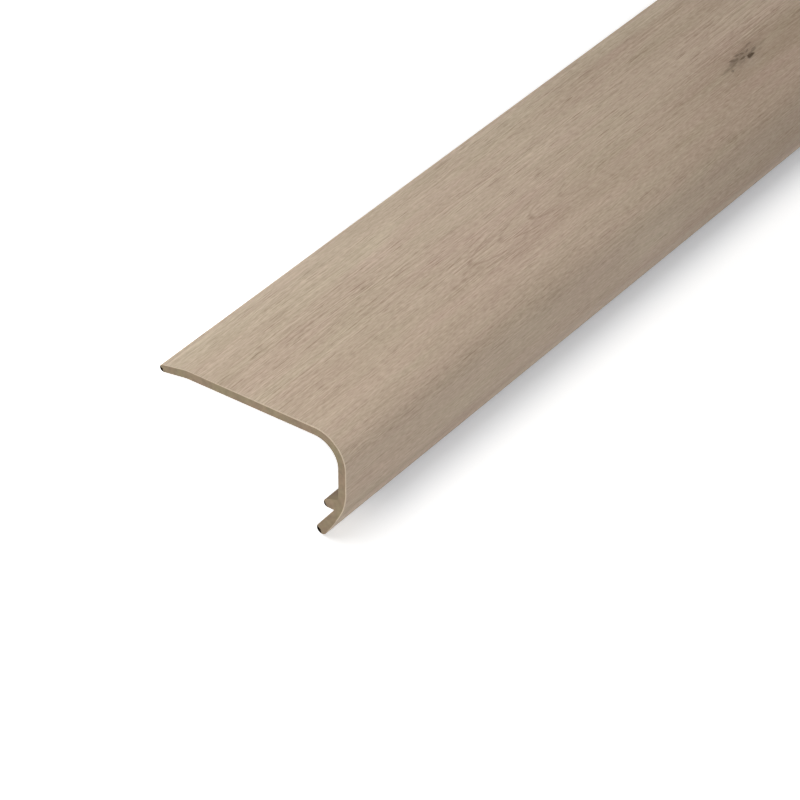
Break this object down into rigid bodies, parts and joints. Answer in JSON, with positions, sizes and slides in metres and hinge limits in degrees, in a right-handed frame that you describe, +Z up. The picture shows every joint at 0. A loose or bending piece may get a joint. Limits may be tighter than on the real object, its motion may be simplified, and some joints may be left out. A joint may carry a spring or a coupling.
{
  "type": "stair nosing profile",
  "caption": "Straight overlapping stair nosing: a flange over the tread, a round nose and a front that curves back into a lip, with a rib behind it and a wood-look finish.",
  "frame": {"origin": "bottom centre of the bounding box, on the floor that the nosing rests on", "axes": "+X along the length, +Y towards the flange's back edge, +Z up as it rests unheld on its lip and its back edge"},
  "size_m": [1.2, 0.0574, 0.0272],
  "materials": {
    "decor_profile": "satin wood-grain decor on the outer faces, plain brown on the inside and the cut ends"
  },
  "bodies": {
    "root": {"nosing_profile": "decor_profile"}
  },
  "joints": []
}
